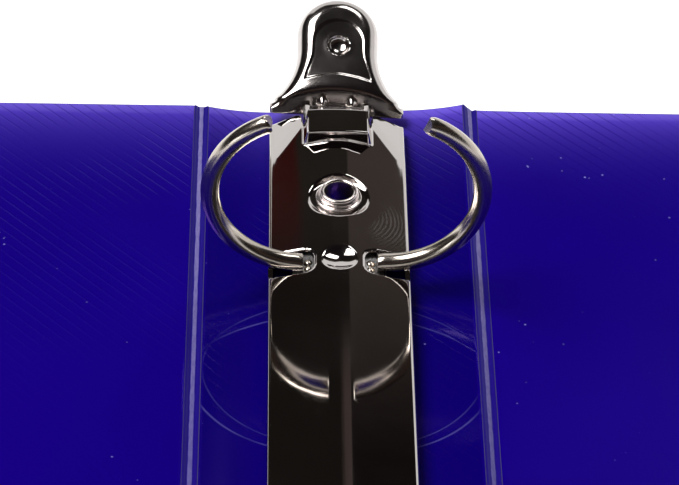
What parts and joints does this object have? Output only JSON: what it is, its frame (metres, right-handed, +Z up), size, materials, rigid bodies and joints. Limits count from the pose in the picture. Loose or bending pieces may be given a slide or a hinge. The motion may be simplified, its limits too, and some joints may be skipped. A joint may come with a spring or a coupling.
{
  "type": "ring binder",
  "caption": "Flexible plastic ring binder lying open, with living-hinge covers and a riveted arched steel ring mechanism that opens by a lever at each end.",
  "frame": {"origin": "middle of the spine's underside, on the surface that the open binder rests on", "axes": "+X across the spine towards the back cover, +Y along the spine towards the top lever, +Z up through the rings"},
  "size_m": [0.5362, 0.3186, 0.032],
  "materials": {
    "sheet": "translucent-looking saturated indigo polypropylene, finely embossed with diagonal lines",
    "hinge_crease": "stress-whitened crease in the same sheet",
    "plated_steel": "mirror-bright warm nickel plate with faint fingerprints",
    "ring_wire": "bright nickel-plated round wire",
    "blade_steel": "plain zinc-plated spring steel",
    "rivet_metal": "bright plated tube metal"
  },
  "bodies": {
    "spine": {"spine_panel": "sheet", "front_hinge_web": "hinge_crease", "back_hinge_web": "hinge_crease", "housing_plate": "plated_steel", "top_lever_pin": "blade_steel", "bottom_lever_pin": "blade_steel", "top_rivet": "rivet_metal", "bottom_rivet": "rivet_metal", "top_rivet_sleeve": "rivet_metal", "bottom_rivet_sleeve": "rivet_metal", "top_rivet_collar": "rivet_metal", "bottom_rivet_collar": "rivet_metal"},
    "front_cover": {"front_cover": "sheet"},
    "back_cover": {"back_cover": "sheet"},
    "left_blade": {"left_blade": "blade_steel", "top_ring_left": "ring_wire", "middle_ring_left": "ring_wire", "bottom_ring_left": "ring_wire"},
    "right_blade": {"right_blade": "blade_steel", "top_ring_right": "ring_wire", "middle_ring_right": "ring_wire", "bottom_ring_right": "ring_wire"},
    "top_lever": {"top_lever": "plated_steel"},
    "bottom_lever": {"bottom_lever": "plated_steel"}
  },
  "joints": [
    {"name": "front_cover_hinge", "type": "hinge", "parent": "spine", "child": "front_cover", "pos_m": [-0.0201, 0, 0.0016], "axis": [0, 1, 0], "range_deg": [-90, 86]},
    {"name": "back_cover_hinge", "type": "hinge", "parent": "spine", "child": "back_cover", "pos_m": [0.0201, 0, 0.0016], "axis": [0, -1, 0], "range_deg": [-90, 86]},
    {"name": "left_blade_pivot", "type": "hinge", "parent": "spine", "child": "left_blade", "pos_m": [-0.00885, 0, 0.00362], "axis": [0, 1, 0], "range_deg": [0, 23]},
    {"name": "right_blade_pivot", "type": "hinge", "parent": "spine", "child": "right_blade", "pos_m": [0.00885, 0, 0.00362], "axis": [0, 1, 0], "range_deg": [-23, 0]},
    {"name": "top_lever_pivot", "type": "hinge", "parent": "spine", "child": "top_lever", "pos_m": [0, 0.14245, 0.0041], "axis": [1, 0, 0], "range_deg": [0, 38.2]},
    {"name": "bottom_lever_pivot", "type": "hinge", "parent": "spine", "child": "bottom_lever", "pos_m": [0, -0.14245, 0.0041], "axis": [1, 0, 0], "range_deg": [-38.2, 0]}
  ],
  "couplings": [
    {"joint": "right_blade_pivot", "follows": "left_blade_pivot", "ratio": -1},
    {"joint": "top_lever_pivot", "follows": "left_blade_pivot", "ratio": 1.6609},
    {"joint": "bottom_lever_pivot", "follows": "left_blade_pivot", "ratio": -1.6609}
  ]
}
